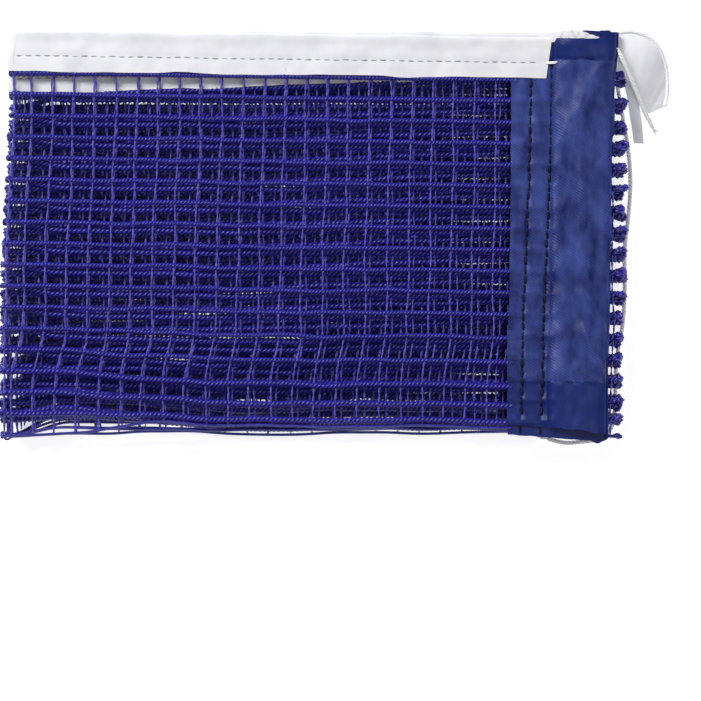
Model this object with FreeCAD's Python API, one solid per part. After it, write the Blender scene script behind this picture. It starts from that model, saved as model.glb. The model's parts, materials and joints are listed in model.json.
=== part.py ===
import FreeCAD, Part

import math
import os

from FreeCAD import Vector

# A table-tennis net, folded zigzag into flat layers that lie on each other. Millimetres.
# X runs along the net, Y across it towards the head tape, Z up. Layer 1 is the top one.
# The origin is on the flat underside of the lowest layer, at the middle of the net.

# Driving dimensions of the unfolded net
net_length = 1830.0
net_height = 152.5
tape_depth = 15.25
seam_share = 0.62
head_cord_diameter = 1.6
tail_diameter = 1.8

# How it is folded: length of the two end layers, and each layer's lean in the plane of the layers
end_layer = 227.3
layer_leans = (-0.8, -0.2, 2.0, 1.4, -0.45, 0.1, -0.2, 0.0)
sleeve_a_end = Vector(113.3, -2.75, 0)

# Thicknesses
layer_thickness = 2.2
layer_gap = 0.3
tape_cloth = 0.25
tape_thickness = 1.8
flange_cloth = 0.25
flange_thickness = 1.3
netting_under_tape = 1.3
netting_in_sleeve = 0.8
thread_height = 0.2
thread_width = 0.45
hem_thread_height = 0.15

# End sleeves: widths are measured from the outer edge, heights from the net's mid line
sleeve_width = 37.8
inner_row = 31.0
outer_row = 23.1
outer_seam = 23.3
pocket_width = 22.6
pocket_height = 5.3
pocket_cloth = 0.35
pocket_corner = 1.3
sleeve_top = 73.0
sleeve_bottom = -73.0
top_hem_line = 68.0
bottom_hem_line = -52.6
tape_end = 23.0
seam_stop = 5.0
tack_length = 4.0
tack_gap = 0.5

# Clearances
fold_clearance = 0.2
lowest_edge = -76.5

layers = len(layer_leans)
half_height = net_height / 2
middle_layer = (net_length - 2 * end_layer) / (layers - 2)
tape_edge = half_height - tape_depth
cord_line = half_height - layer_thickness / 2
seam_line = half_height - seam_share * tape_depth
mid_z = layer_thickness / 2


def direction(angle):
    """The unit vector at this many degrees from +X, seen from above."""
    return Vector(math.cos(math.radians(angle)), math.sin(math.radians(angle)), 0)


def side(layer):
    """-1 for a layer that runs from its right end to its left one, 1 for the next."""
    return -1 if layer % 2 else 1


def layer_length(layer):
    return end_layer if layer in (1, layers) else middle_layer


def lean(layer):
    return layer_leans[layer - 1]


def fold_points():
    """The ends of the layers on the net's mid line: sleeve A's edge, the folds, sleeve B's edge."""
    points = [sleeve_a_end]
    for layer in range(1, layers + 1):
        step = direction(lean(layer)) * (side(layer) * layer_length(layer))
        points.append(points[-1] + step)
    return points


folds = fold_points()


def base_z(layer):
    """Height of a layer's underside. The lowest layer lies beside its own thick sleeve pocket."""
    if layer == layers:
        return 0.0
    above_pocket = pocket_height + hem_thread_height + layer_gap
    return above_pocket + (layers - 1 - layer) * (layer_thickness + layer_gap)


def fold_lean(fold):
    """Lean of a fold line: it halves the angle between the two layers that meet there."""
    if fold in (0, layers):
        return lean(max(fold, 1))
    return (lean(fold) + lean(fold + 1)) / 2


def local_end(layer, fold, v, clearance):
    """Where a layer ends at height v, along the layer, counted from its right-hand end."""
    right = folds[layer - 1] if side(layer) < 0 else folds[layer]
    along = (folds[fold] - right).dot(direction(lean(layer)))
    slant = math.tan(math.radians(lean(layer) - fold_lean(fold)))
    inward = -1 if folds[fold] == right else 1
    return along + v * slant + inward * clearance


def left_fold(layer):
    return layer if side(layer) < 0 else layer - 1


def right_fold(layer):
    return layer - 1 if side(layer) < 0 else layer


def has_sleeve(layer):
    return layer in (1, layers)


def place(layer, shape):
    """Moves a shape from a layer's own frame, whose origin is its right-hand end, to the net."""
    right = folds[right_fold(layer)]
    shape.rotate(Vector(0, 0, 0), Vector(0, 0, 1), lean(layer))
    shape.translate(Vector(right.x, right.y, base_z(layer)))
    return shape


def prism(points, low, high):
    """A flat plate with this outline in X and Y, from one height to another."""
    corners = [Vector(x, y, low) for x, y in points]
    outline = Part.makePolygon(corners + corners[:1])
    return Part.Face(outline).extrude(Vector(0, 0, high - low))


def block(x0, x1, y0, y1, z0, z1):
    return Part.makeBox(x1 - x0, y1 - y0, z1 - z0, Vector(x0, y0, z0))


def centred(thickness):
    """The heights between which a sheet of this thickness lies in the middle of a layer."""
    return mid_z - thickness / 2, mid_z + thickness / 2


def bunched_edge(fold):
    """The netting's lower edge at a fold, pushed up where the layer lies low."""
    return max(-half_height, lowest_edge - folds[fold].y)


def netting(layer):
    """One layer of netting: the open mesh as a plate, and its thin margins under tape and sleeve."""
    left, right = left_fold(layer), right_fold(layer)
    low_left = bunched_edge(left)
    low_right = bunched_edge(right)
    x_left = [local_end(layer, left, v, fold_clearance) for v in (low_left, tape_edge, cord_line)]
    if has_sleeve(layer):
        x_right = [-sleeve_width] * 3
    else:
        x_right = [local_end(layer, right, v, fold_clearance)
                   for v in (low_right, tape_edge, cord_line)]
    mesh = prism([(x_left[0], low_left), (x_right[0], low_right),
                  (x_right[1], tape_edge), (x_left[1], tape_edge)], 0, layer_thickness)
    margin_top = cord_line - head_cord_diameter / 2 - fold_clearance
    low, high = centred(netting_under_tape)
    margin = prism([(x_left[1], tape_edge), (x_right[1], tape_edge),
                    (x_right[2], margin_top), (x_left[2], margin_top)], low, high)
    whole = mesh.fuse(margin)
    if has_sleeve(layer):
        low, high = centred(netting_in_sleeve)
        tongue = block(-sleeve_width, -outer_row, sleeve_bottom, sleeve_top, low, high)
        whole = whole.fuse(tongue)
    return whole.removeSplitter()


def tape_section(x):
    """The head tape's cross-section in the plane at x: a U with a round channel for the cord."""
    outer = layer_thickness / 2
    inner = outer - tape_cloth
    leaf_outer = tape_thickness / 2
    leaf_inner = leaf_outer - tape_cloth
    shoulder = cord_line - outer

    def point(y, z):
        return Vector(x, y, mid_z + z)

    def line(a, b):
        return Part.LineSegment(point(*a), point(*b)).toShape()

    def bend(radius, turn):
        ends = point(cord_line, -turn * radius), point(cord_line, turn * radius)
        return Part.Arc(ends[0], point(cord_line + radius, 0), ends[1]).toShape()

    edges = [
        line((tape_edge, -leaf_outer), (shoulder - outer / 2, -leaf_outer)),
        line((shoulder - outer / 2, -leaf_outer), (shoulder, -outer)),
        line((shoulder, -outer), (cord_line, -outer)),
        bend(outer, 1),
        line((cord_line, outer), (shoulder, outer)),
        line((shoulder, outer), (shoulder - outer / 2, leaf_outer)),
        line((shoulder - outer / 2, leaf_outer), (tape_edge, leaf_outer)),
        line((tape_edge, leaf_outer), (tape_edge, leaf_inner)),
        line((tape_edge, leaf_inner), (shoulder - outer / 2, leaf_inner)),
        line((shoulder - outer / 2, leaf_inner), (shoulder, inner)),
        line((shoulder, inner), (cord_line, inner)),
        bend(inner, -1),
        line((cord_line, -inner), (shoulder, -inner)),
        line((shoulder, -inner), (shoulder - outer / 2, -leaf_inner)),
        line((shoulder - outer / 2, -leaf_inner), (tape_edge, -leaf_inner)),
        line((tape_edge, -leaf_inner), (tape_edge, -leaf_outer)),
    ]
    return Part.Face(Part.Wire(edges))


def tape_span(layer):
    """Where the head tape starts and ends along a layer, square-cut inside the slanted folds."""
    heights = (tape_edge, half_height)
    left = max(local_end(layer, left_fold(layer), v, fold_clearance) for v in heights)
    if has_sleeve(layer):
        return left, -tape_end
    right = min(local_end(layer, right_fold(layer), v, fold_clearance) for v in heights)
    return left, right


def head_tape(layer):
    left, right = tape_span(layer)
    return tape_section(left).extrude(Vector(right - left, 0, 0))


def head_cord(layer):
    left, right = tape_span(layer)
    start = Vector(left, cord_line, mid_z)
    return Part.makeCylinder(head_cord_diameter / 2, right - left, start, Vector(1, 0, 0))


def thread_pair(x0, x1, y0, y1, thickness):
    """The upper and the lower thread of a seam, each on its own face of a sheet."""
    low, high = centred(thickness)
    upper = block(x0, x1, y0, y1, high, high + thread_height)
    lower = block(x0, x1, y0, y1, low - thread_height, low)
    return Part.makeCompound([upper, lower])


def tape_seam(layer):
    left, right = tape_span(layer)
    end = right - seam_stop if has_sleeve(layer) else right
    edges = seam_line - thread_width / 2, seam_line + thread_width / 2
    return thread_pair(left, end, *edges, tape_thickness)


def tape_tack():
    """The knotted end of the tape's seam, where the tape is tacked to the sleeve."""
    edges = seam_line - thread_width, seam_line + thread_width
    end = -tape_end - tack_gap
    return thread_pair(end - tack_length, end, *edges, tape_thickness)


def rounded_section(x0, x1, z0, z1, radius, y):
    """A rectangle with round corners in the plane at y."""
    d = radius * (1 - math.sqrt(0.5))
    edges = []

    def line(a, b):
        edges.append(Part.LineSegment(Vector(a[0], y, a[1]), Vector(b[0], y, b[1])).toShape())

    def corner(a, b, c):
        points = [Vector(x, y, z) for x, z in (a, b, c)]
        edges.append(Part.Arc(*points).toShape())

    line((x0 + radius, z0), (x1 - radius, z0))
    corner((x1 - radius, z0), (x1 - d, z0 + d), (x1, z0 + radius))
    line((x1, z0 + radius), (x1, z1 - radius))
    corner((x1, z1 - radius), (x1 - d, z1 - d), (x1 - radius, z1))
    line((x1 - radius, z1), (x0 + radius, z1))
    corner((x0 + radius, z1), (x0 + d, z1 - d), (x0, z1 - radius))
    line((x0, z1 - radius), (x0, z0 + radius))
    corner((x0, z0 + radius), (x0 + d, z0 + d), (x0 + radius, z0))
    return Part.Face(Part.Wire(edges))


def end_sleeve():
    """A sleeve: the pocket for the net's post, and a flange of two cloths sewn over the netting."""
    height = Vector(0, sleeve_top - sleeve_bottom, 0)
    outer = rounded_section(-pocket_width, 0, 0, pocket_height, pocket_corner, sleeve_bottom)
    inner = rounded_section(-pocket_width + pocket_cloth, -pocket_cloth, pocket_cloth,
                            pocket_height - pocket_cloth, pocket_corner - pocket_cloth,
                            sleeve_bottom)
    pocket = outer.cut(inner).extrude(height)
    low, high = centred(flange_thickness)
    wall = -pocket_width + pocket_cloth / 2
    under = block(-sleeve_width, wall, sleeve_bottom, sleeve_top, low, low + flange_cloth)
    over = block(-sleeve_width, wall, sleeve_bottom, sleeve_top, high - flange_cloth, high)
    return pocket.fuse([under, over]).removeSplitter()


def sleeve_seam(distance):
    """A row of stitches along the sleeve, at this distance from its outer edge."""
    x0 = -distance - thread_width / 2
    return thread_pair(x0, x0 + thread_width, sleeve_bottom, tape_edge - fold_clearance,
                       flange_thickness)


def hem_thread(y):
    """A hem's stitches across the pocket, on top of its upper cloth and inside its lower one."""
    x0, x1 = -pocket_width + pocket_corner, -pocket_corner
    y0, y1 = y - thread_width / 2, y + thread_width / 2
    upper = block(x0, x1, y0, y1, pocket_height, pocket_height + hem_thread_height)
    lower = block(x0, x1, y0, y1, pocket_cloth, pocket_cloth + hem_thread_height / 2)
    return Part.makeCompound([upper, lower])


# The loop of slack tape that bulges out at the fold between layers 2 and 3 and droops to one side.
# Its outline from above, and its top and its underside along its heading: distance and height.
loop_root = Vector(115.4, 67.0, 0)
loop_heading = -55.0
loop_reach = 40.0
loop_outline = [
    (115.8, 76.3), (121.5, 76.6), (128.0, 74.6), (133.0, 69.6), (135.8, 62.2), (136.3, 54.2),
    (133.6, 47.6), (129.6, 45.2), (126.0, 47.6), (122.4, 54.0), (119.0, 59.6), (115.8, 61.4),
]
loop_top = [(-12.0, 20.4), (0.0, 20.4), (3.7, 18.7), (11.2, 14.0), (17.8, 8.6), (23.7, 4.4),
            (28.0, 3.4)]
loop_underside = [(28.0, 1.2), (23.7, 1.2), (17.8, 4.6), (11.2, 9.6), (3.7, 14.2), (0.0, 16.0),
                  (-12.0, 16.0)]


def tape_loop():
    """The room that the slack tape fills: its outline, between its top and its underside."""
    corners = [Vector(r, 0, z) for r, z in loop_top + loop_underside]
    droop = Part.Face(Part.makePolygon(corners + corners[:1]))
    droop = droop.extrude(Vector(0, 2 * loop_reach, 0))
    droop.translate(Vector(0, -loop_reach, 0))
    droop.rotate(Vector(0, 0, 0), Vector(0, 0, 1), loop_heading)
    droop.translate(loop_root)
    return prism(loop_outline, 0, base_z(1)).common(droop)


# Routes of the head cord's two free ends, by hand, from the tape's end to the cord's tip, and how
# much of a run the arc at its corner may take
arc_share = 0.45
tail_a_route = [
    (91.351, 72.714, 21.85), (100.5, 72.586, 21.85), (109.0, 72.9, 22.4), (115.0, 70.9, 22.7),
    (117.8, 66.2, 21.8), (120.1, 61.8, 18.3), (122.7, 56.6, 14.4), (125.2, 51.2, 9.9),
    (127.4, 46.9, 6.4), (129.6, 43.3, 3.4), (130.9, 41.0, 1.0),
]
tail_b_route = [
    (90.4, 75.375, 1.1), (98.0, 75.375, 1.1), (106.0, 75.6, 1.1), (112.9, 74.2, 1.1),
    (116.6, 68.2, 1.0), (117.0, 59.4, 0.95), (118.9, 48.0, 0.95), (121.4, 34.4, 0.95),
    (122.6, 21.0, 0.95), (121.6, 7.4, 0.95), (119.9, -5.4, 0.95), (120.3, -19.4, 0.95),
    (119.6, -33.4, 0.95), (116.9, -46.2, 0.95), (116.6, -59.6, 0.95), (116.2, -71.8, 0.95),
    (111.6, -77.4, 0.95), (103.4, -78.4, 0.95), (96.2, -79.0, 0.95), (90.5, -77.0, 0.95),
]


def cord_path(route, name):
    """Straight runs joined by tangent arcs, each as large as its two runs allow."""
    points = [Vector(*p) for p in route]
    edges = []
    start = points[0]
    smallest = math.inf
    for before, corner, after in zip(points, points[1:], points[2:]):
        into = corner - before
        out = after - corner
        half_turn = into.getAngle(out) / 2
        reach = arc_share * min(into.Length, out.Length)
        smallest = min(smallest, reach / math.tan(half_turn))
        arc_start = corner - into.normalize() * reach
        arc_end = corner + out.normalize() * reach
        towards = (arc_start + arc_end) * 0.5 - corner
        radius = reach / math.tan(half_turn)
        bulge = radius / math.cos(half_turn) - radius
        middle = corner + towards.normalize() * bulge
        edges.append(Part.LineSegment(start, arc_start).toShape())
        edges.append(Part.Arc(arc_start, middle, arc_end).toShape())
        start = arc_end
    edges.append(Part.LineSegment(start, points[-1]).toShape())
    path = Part.Wire(edges)
    print(f"{name}: length {path.Length:.1f}, smallest radius {smallest:.1f}")
    return path


def cord_tail(route, name):
    path = cord_path(route, name)
    first = Vector(*route[1]) - Vector(*route[0])
    circle = Part.Circle(Vector(*route[0]), first, tail_diameter / 2)
    tube = path.makePipeShell([Part.Wire(circle.toShape())], True, False)
    section = math.pi * tail_diameter ** 2 / 4
    print(f"{name}: volume {tube.Volume:.1f}, section times length {section * path.Length:.1f}")
    return tube


def parts():
    """Every node's name and its shape, in place."""
    for layer in range(1, layers + 1):
        yield f"netting_{layer}", place(layer, netting(layer))
        yield f"head_tape_{layer}", place(layer, head_tape(layer))
        yield f"head_cord_{layer}", place(layer, head_cord(layer))
        yield f"tape_seam_{layer}", place(layer, tape_seam(layer))
    for end, layer in (("a", 1), ("b", layers)):
        yield f"end_sleeve_{end}", place(layer, end_sleeve())
        yield f"sleeve_seam_inner_{end}", place(layer, sleeve_seam(inner_row))
        yield f"sleeve_seam_outer_{end}", place(layer, sleeve_seam(outer_seam))
        yield f"top_hem_thread_{end}", place(layer, hem_thread(top_hem_line))
        yield f"bottom_hem_thread_{end}", place(layer, hem_thread(bottom_hem_line))
        yield f"tape_tack_{end}", place(layer, tape_tack())
    yield "head_tape_loop", tape_loop()
    yield "cord_tail_a", cord_tail(tail_a_route, "cord_tail_a")
    yield "cord_tail_b", cord_tail(tail_b_route, "cord_tail_b")


def print_hinges():
    """The hinge at each fold: a point on its axis and the way that opens the net upwards."""
    for fold in range(1, layers):
        z = (base_z(fold + 1) + layer_thickness + base_z(fold)) / 2
        axis = direction(90 + fold_lean(fold)) * -side(fold + 1)
        where = folds[fold]
        print(f"fold {fold}-{fold + 1}: ({where.x:.3f}, {where.y:.3f}, {z:.3f}) "
              f"axis ({axis.x:.6f}, {axis.y:.6f}, 0)")


os.makedirs("parts", exist_ok=True)
for name, shape in parts():
    if not shape.isValid():
        raise ValueError(f"{name} is not a valid solid")
    shape.exportStep(f"parts/{name}.step")
print_hinges()
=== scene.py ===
import json
import math

import bpy
import numpy as np
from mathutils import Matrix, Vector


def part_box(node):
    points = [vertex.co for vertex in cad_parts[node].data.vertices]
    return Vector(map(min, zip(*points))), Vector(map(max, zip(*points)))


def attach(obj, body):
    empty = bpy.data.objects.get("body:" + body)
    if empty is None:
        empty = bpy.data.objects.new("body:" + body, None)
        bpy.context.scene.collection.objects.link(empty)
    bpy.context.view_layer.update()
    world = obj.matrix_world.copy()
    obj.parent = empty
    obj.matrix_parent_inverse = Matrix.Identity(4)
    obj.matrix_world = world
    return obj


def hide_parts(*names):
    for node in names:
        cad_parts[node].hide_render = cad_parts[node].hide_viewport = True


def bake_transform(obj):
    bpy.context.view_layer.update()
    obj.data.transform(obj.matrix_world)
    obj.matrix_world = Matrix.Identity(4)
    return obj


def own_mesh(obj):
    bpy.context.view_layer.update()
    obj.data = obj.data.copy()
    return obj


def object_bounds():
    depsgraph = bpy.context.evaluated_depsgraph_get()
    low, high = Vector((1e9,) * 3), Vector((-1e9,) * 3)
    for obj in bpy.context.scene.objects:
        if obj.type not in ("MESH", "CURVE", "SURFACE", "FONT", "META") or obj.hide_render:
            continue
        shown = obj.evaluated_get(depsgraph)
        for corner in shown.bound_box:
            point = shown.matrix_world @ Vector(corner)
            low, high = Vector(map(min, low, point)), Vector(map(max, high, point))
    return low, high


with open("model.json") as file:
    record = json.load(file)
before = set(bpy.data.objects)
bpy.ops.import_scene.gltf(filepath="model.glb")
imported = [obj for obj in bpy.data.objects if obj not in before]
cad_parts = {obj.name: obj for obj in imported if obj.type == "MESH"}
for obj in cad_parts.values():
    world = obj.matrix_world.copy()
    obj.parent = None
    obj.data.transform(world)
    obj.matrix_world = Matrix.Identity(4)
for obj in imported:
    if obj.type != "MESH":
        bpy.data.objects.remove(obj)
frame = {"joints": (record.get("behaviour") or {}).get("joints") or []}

# A table-tennis net, folded zigzag into eight layers. Metres, in the CAD's own frame.
# X runs along the net, Y across it towards the head tape, Z up. Layer 1 is the top one.

cad_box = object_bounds()
mm = 0.001

# Netting
cell = 8.0 * mm
rows = 18
net_length_of_layer = 229.2 * mm
row_radius = 0.56 * mm
row_twist_radius = 0.50 * mm
row_pitch = 2.6 * mm
selvage_scale = 0.62
rope_growth = 0.25
rope_row = 12
# The layers from deep_layer down are drawn with thicker yarn than the top one
deep_growth = 1.34
deep_layer = 2
thread_radius = 0.22 * mm
thread_twist_radius = 0.23 * mm
thread_pitch = 7.0 * mm
thread_lean = 4.2 * mm
row_sides = 4
turn_steps = 6
fold_steps = 12
net_sag = 1.8 * mm
lowest_gap = 2.2 * mm
tuck_start = 20.0 * mm
tuck_length = 60.0 * mm
floor_gap = 0.1 * mm
fold_zone = 22.0 * mm

# The outline of the stack, where the folds reach furthest: X at the top, how much further out
# (to the left) or in (on the right) it lies lower down, from which Y, and over what height
left_outline = (-112.1 * mm, -3.6 * mm, 60 * mm, 95 * mm)
right_outline = (119.4 * mm, -1.8 * mm, -18 * mm, 16 * mm)
least_reach = 1.4 * mm
least_inset = 0.2 * mm
tape_corner = 1.5 * mm
tape_bend = (0.4 * mm, 1.6 * mm)

# How far the rows lie off the even cells: at a fold, and in the middle of a layer. Below the
# second layer each layer's rows lie this share of a cell further on than the last one's.
shift_at_fold = {2: -2.4 * mm, 3: -2.4 * mm, 4: -1.2 * mm, 5: -3.4 * mm, 6: -4.6 * mm,
                 7: 1.9 * mm}
second_layer_shift = -3.1 * mm
deep_step = 0.35

# The net's height and its head tape
half_height = 76.25 * mm
tape_edge = 61.0 * mm
cord_line = 75.15 * mm
seam_line = 66.8 * mm
tape_leaf = 0.9 * mm
tape_bulge = 1.1 * mm
canvas = 0.25 * mm
sharp_angle = math.radians(50)
tape_end = 23.0 * mm
tape_cut = 2.0 * mm
seam_groove = 0.28 * mm

# Sleeves: x is counted from the outer edge
sleeve_width = 37.8 * mm
flange_top = 73.0 * mm
flange_face = 1.75 * mm
pocket_top = 76.0 * mm
back_top = 79.3 * mm
back_step = 2.8 * mm
back_step_place = 12.5 * mm
corner_top = 1.9 * mm
corner_width = 8.0 * mm
back_drop = 0.4 * mm
flare = 1.7 * mm
spread = 4.2 * mm
front_bottom = -68.6 * mm
front_slope = 3.3 * mm
back_bottom = -73.0 * mm
flap = 1.3 * mm
edge_round = 1.2 * mm
edge_height = 2.3 * mm
gather_length = 19.0 * mm
gather_root = 74.6 * mm
inner_row = 31.0 * mm
outer_row = 23.3 * mm
pocket_width = 22.6 * mm
pocket_height = 5.3 * mm
nylon = 0.3 * mm
top_hem_line = 68.0 * mm
bottom_hem_line = -52.6 * mm

# Stitches
stitch_period = 3.5 * mm
stitch_length = 3.3 * mm
stitch_radius = 0.22 * mm

# Free ends of the head cord
tail_diameter = 1.8 * mm
tail_pitch = 4.2 * mm
head_cord_strand = 0.35 * mm

tail_a_route = [
    (0.091351, 0.072714, 0.02185), (0.1005, 0.072586, 0.02185), (0.1090, 0.0729, 0.0224),
    (0.1150, 0.0709, 0.0227), (0.1178, 0.0662, 0.0218), (0.1201, 0.0618, 0.0183),
    (0.1227, 0.0566, 0.0144), (0.1252, 0.0512, 0.0099), (0.1274, 0.0469, 0.0064),
    (0.1296, 0.0433, 0.0034), (0.1309, 0.0410, 0.0010),
]
tail_b_route = [
    (0.0904, 0.075375, 0.0011), (0.0980, 0.075375, 0.0011), (0.1060, 0.0756, 0.0011),
    (0.1129, 0.0742, 0.0011), (0.1166, 0.0682, 0.0010), (0.1170, 0.0594, 0.00095),
    (0.1189, 0.0480, 0.00095), (0.1214, 0.0344, 0.00095), (0.1226, 0.0210, 0.00095),
    (0.1216, 0.0074, 0.00095), (0.1199, -0.0054, 0.00095), (0.1203, -0.0194, 0.00095),
    (0.1196, -0.0334, 0.00095), (0.1169, -0.0462, 0.00095), (0.1166, -0.0596, 0.00095),
    (0.1162, -0.0718, 0.00095), (0.1116, -0.0774, 0.00095), (0.1034, -0.0784, 0.00095),
    (0.0962, -0.0790, 0.00095), (0.0905, -0.0770, 0.00095),
]


# ---------------------------------------------------------------- small geometry helpers

def unit(vectors):
    return vectors / np.linalg.norm(vectors, axis=-1, keepdims=True)


def smooth(share):
    share = np.clip(share, 0, 1)
    return share * share * (3 - 2 * share)


def bell(distance, width):
    return np.exp(-(distance / width) ** 2)


def heading(angle):
    """The level unit vector at this angle from +X, seen from above."""
    return np.array([math.cos(angle), math.sin(angle), 0.0])


class Wave:
    """A gentle irregular wave between about -1 and 1, the same in every run for the same seed."""

    def __init__(self, seed, longest, count=5):
        chance = np.random.default_rng(seed)
        self.lengths = longest / (1 + np.arange(count) * chance.uniform(0.55, 0.95, count))
        self.phases = chance.uniform(0, 2 * math.pi, count)
        self.heights = 1 / (1 + np.arange(count))
        self.heights /= self.heights.sum() ** 0.75

    def __call__(self, distance):
        distance = np.asarray(distance)[..., None]
        angle = 2 * math.pi * distance / self.lengths + self.phases
        return (np.sin(angle) * self.heights).sum(axis=-1)


class Shape:
    """Collects grids of points into one mesh of four-cornered faces."""

    def __init__(self):
        self.points = []
        self.quads = []
        self.marks = []
        self.count = 0

    def grid(self, points, closed=False, mark=0):
        """Rows by columns of points. A closed grid joins its last column to its first."""
        lines, columns = points.shape[:2]
        index = self.count + np.arange(lines * columns).reshape(lines, columns)
        if closed:
            index = np.concatenate([index, index[:, :1]], axis=1)
        corners = [index[:-1, :-1], index[:-1, 1:], index[1:, 1:], index[1:, :-1]]
        quads = np.stack(corners, axis=-1).reshape(-1, 4)
        self.quads.append(quads)
        self.marks.append(np.full(len(quads), mark, np.int32))
        self.points.append(points.reshape(-1, 3))
        self.count += lines * columns

    def build(self, name, *materials):
        points = np.concatenate(self.points).astype(np.float32)
        quads = np.concatenate(self.quads).astype(np.int32)
        mesh = bpy.data.meshes.new(name)
        mesh.vertices.add(len(points))
        mesh.vertices.foreach_set("co", points.ravel())
        mesh.loops.add(quads.size)
        mesh.loops.foreach_set("vertex_index", quads.ravel())
        mesh.polygons.add(len(quads))
        mesh.polygons.foreach_set("loop_start", np.arange(0, quads.size, 4, dtype=np.int32))
        mesh.polygons.foreach_set("material_index", np.concatenate(self.marks))
        mesh.polygons.foreach_set("use_smooth", np.ones(len(quads), bool))
        for material in materials:
            mesh.materials.append(material)
        mesh.update(calc_edges=True)
        mesh.validate()
        piece = bpy.data.objects.new(name, mesh)
        bpy.context.scene.collection.objects.link(piece)
        return piece


def tube(shape, line, radius, across, sides, mark=0):
    """A tube along a line of points. The direction across is never along the line."""
    ahead = unit(np.gradient(line, axis=0))
    side = unit(np.cross(ahead, across))
    up = np.cross(ahead, side)
    angles = np.arange(sides) * 2 * math.pi / sides
    ring = side[:, None] * np.cos(angles)[:, None] + up[:, None] * np.sin(angles)[:, None]
    radius = np.broadcast_to(radius, len(line))[:, None, None]
    shape.grid(line[:, None] + ring * radius, closed=True, mark=mark)


def closing(count, ends=1):
    """Shares of a tube's radius that close both its ends."""
    share = np.ones(count)
    share[:ends] = share[-ends:] = 0.05
    return share


def twist(shape, line, across, plies, radius, twist_radius, pitch, sides, start=0.0, mark=0):
    """Plies that wind round a line of points."""
    steps = np.linalg.norm(np.diff(line, axis=0), axis=1)
    run = np.concatenate([[0], np.cumsum(steps)])
    ahead = unit(np.gradient(line, axis=0))
    side = unit(np.cross(ahead, across))
    up = np.cross(ahead, side)
    for ply in range(plies):
        angle = (start + ply / plies - run / pitch) * 2 * math.pi
        offset = side * np.cos(angle)[:, None] + up * np.sin(angle)[:, None]
        tube(shape, line + offset * twist_radius, radius, across, sides, mark)


def even(line, step):
    """The same line with points a step apart."""
    steps = np.linalg.norm(np.diff(line, axis=0), axis=1)
    run = np.concatenate([[0], np.cumsum(steps)])
    wanted = np.linspace(0, run[-1], int(run[-1] / step) + 2)
    return np.stack([np.interp(wanted, run, line[:, axis]) for axis in range(3)], axis=1)


def thicken(piece, thickness):
    """Gives an open sheet its cloth's thickness, towards its inside, as real faces."""
    solid = piece.modifiers.new("cloth", "SOLIDIFY")
    solid.thickness = thickness
    solid.offset = -1
    graph = bpy.context.evaluated_depsgraph_get()
    mesh = bpy.data.meshes.new_from_object(piece.evaluated_get(graph))
    mesh.set_sharp_from_angle(angle=sharp_angle)
    piece.modifiers.clear()
    piece.data = mesh
    return piece


# ---------------------------------------------------------------- camera, light and floor

picture_centre = (15.75 * mm, -43.5 * mm)
picture_width = 262.9 * mm
camera_height = 1.5


def make_camera():
    """Straight above, looking down, with the net in the upper left of the picture."""
    data = bpy.data.cameras.new("camera")
    data.lens = data.sensor_width * camera_height / picture_width
    data.clip_start = 0.1
    camera = bpy.data.objects.new("camera", data)
    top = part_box("netting_1")[1].z
    camera.location = (*picture_centre, top + camera_height)
    bpy.context.scene.collection.objects.link(camera)
    bpy.context.scene.camera = camera


def area_light(name, place, size, power, colour=(1, 1, 1)):
    data = bpy.data.lights.new(name, "AREA")
    data.size = size
    data.energy = power
    data.color = colour
    light = bpy.data.objects.new(name, data)
    light.location = place
    towards = -light.location
    light.rotation_euler = towards.to_track_quat("-Z", "Y").to_euler()
    bpy.context.scene.collection.objects.link(light)


def make_light():
    world = bpy.data.worlds.new("studio")
    world.use_nodes = True
    background = world.node_tree.nodes["Background"]
    background.inputs["Color"].default_value = (1, 1, 1, 1)
    background.inputs["Strength"].default_value = 0.25
    bpy.context.scene.world = world
    area_light("key", (-0.55, 0.75, 1.05), 0.5, 20.0)
    area_light("fill", (0.55, -0.35, 1.3), 0.9, 5.0)


def make_floor():
    shape = Shape()
    reach = np.array([-3.0, 3.0])
    x, y = np.meshgrid(reach, reach)
    shape.grid(np.stack([x, y, np.zeros_like(x)], axis=-1))
    floor = shape.build("floor", floor_material())


# ---------------------------------------------------------------- materials

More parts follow.
